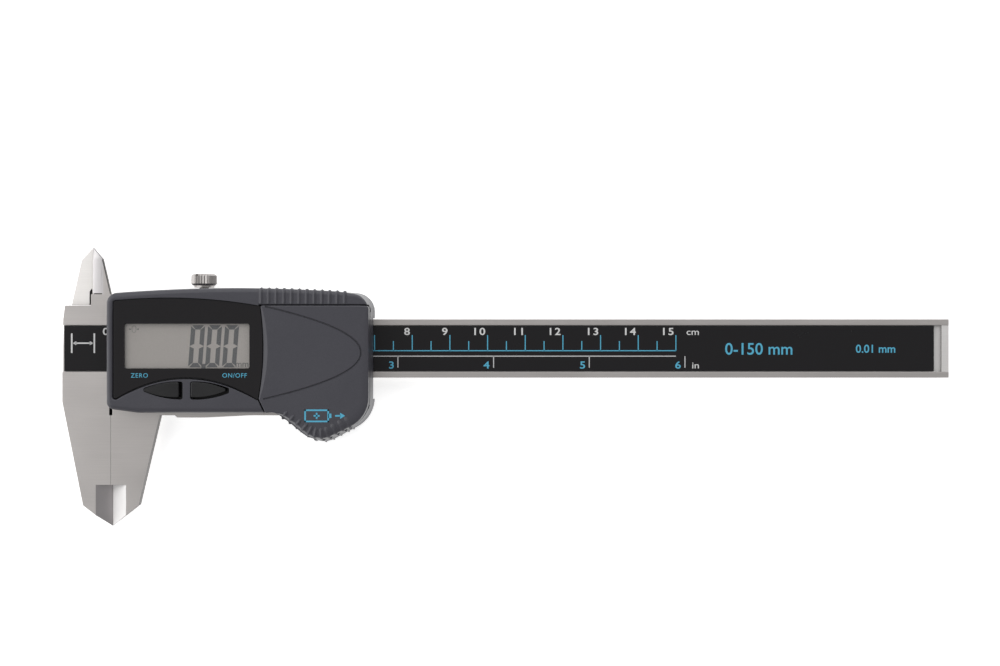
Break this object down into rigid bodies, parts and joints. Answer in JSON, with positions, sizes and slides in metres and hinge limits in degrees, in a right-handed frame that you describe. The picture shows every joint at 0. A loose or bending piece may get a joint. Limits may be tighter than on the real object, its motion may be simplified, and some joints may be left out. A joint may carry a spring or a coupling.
{
  "type": "digital caliper",
  "caption": "Digital caliper with a steel beam, a sliding jaw frame, a moulded display casing with keys, a sliding battery cover, a lock screw and a depth rod.",
  "frame": {"origin": "middle of the bounding box, on the surface that the caliper lies on", "axes": "+X along the beam away from the jaws, +Y towards the inside jaws, +Z out of the display"},
  "size_m": [0.2354, 0.0742, 0.0156],
  "materials": {
    "steel": "ground, satin stainless steel",
    "bright_steel": "bright turned or ground steel",
    "brass": "satin brass",
    "casing": "fine satin moulded plastic, dark grey",
    "gloss_black": "polished black window panel",
    "key": "satin black keys",
    "scale_print": "printed black foil",
    "circuit_board": "green glass-epoxy circuit board",
    "rubber": "matt black rubber",
    "display": "grey liquid crystal display glass",
    "chip": "moulded black chip package",
    "felt": "dense grey felt"
  },
  "bodies": {
    "beam": {"beam": "steel", "scale_board": "circuit_board", "scale_label": "scale_print", "end_stop_plate": "steel", "end_stop_screw_1": "bright_steel", "end_stop_screw_2": "bright_steel"},
    "slider": {"slider_frame": "steel", "back_plate": "steel", "back_plate_screw_1": "bright_steel", "back_plate_screw_2": "bright_steel", "back_plate_screw_3": "bright_steel", "back_plate_screw_4": "bright_steel", "depth_rod": "bright_steel", "depth_rod_rivet_1": "bright_steel", "depth_rod_rivet_2": "bright_steel", "gib": "brass", "gib_screw_1": "bright_steel", "gib_screw_2": "bright_steel", "main_housing": "casing", "housing_screw_1": "bright_steel", "housing_screw_2": "bright_steel", "housing_screw_3": "bright_steel", "housing_screw_4": "bright_steel", "display_window": "gloss_black", "window_gasket": "rubber", "lcd_glass": "display", "zebra_strip_upper": "rubber", "zebra_strip_lower": "rubber", "main_board": "circuit_board", "read_head_board": "circuit_board", "measuring_chip": "chip", "quartz_crystal": "bright_steel", "key_mat": "rubber", "battery_tray": "casing", "coin_cell": "bright_steel", "negative_contact": "brass", "positive_contact": "brass", "battery_seal": "rubber", "beam_wiper_left": "felt", "beam_wiper_right": "felt"},
    "lock_pad": {"lock_pad": "brass"},
    "lock_screw": {"lock_screw": "bright_steel"},
    "left_button": {"left_button": "key"},
    "right_button": {"right_button": "key"},
    "battery_cover": {"battery_cover": "casing"}
  },
  "joints": [
    {"name": "slider_travel", "type": "slide", "parent": "beam", "child": "slider", "axis": [1, 0, 0], "range_m": [0, 0.15]},
    {"name": "lock_pad_shift", "type": "slide", "parent": "slider", "child": "lock_pad", "axis": [0, 1, 0], "range_m": [-0.00025, 0.00075]},
    {"name": "lock_screw_turn", "type": "hinge", "parent": "lock_pad", "child": "lock_screw", "pos_m": [-0.08025, 0.0265, 0.0037], "axis": [0, 1, 0], "range_deg": [-181, 541]},
    {"name": "left_button_press", "type": "slide", "parent": "slider", "child": "left_button", "axis": [0, 0, -1], "range_m": [0, 0.0005], "stiffness_N_per_m": 2000, "springref_m": -0.0002},
    {"name": "right_button_press", "type": "slide", "parent": "slider", "child": "right_button", "axis": [0, 0, -1], "range_m": [0, 0.0005], "stiffness_N_per_m": 2000, "springref_m": -0.0002},
    {"name": "battery_cover_slide", "type": "slide", "parent": "slider", "child": "battery_cover", "axis": [1, 0, 0], "range_m": [0, 0.028]}
  ],
  "couplings": [
    {"joint": "lock_screw_turn", "follows": "lock_pad_shift", "rad_per_m": 12566}
  ]
}
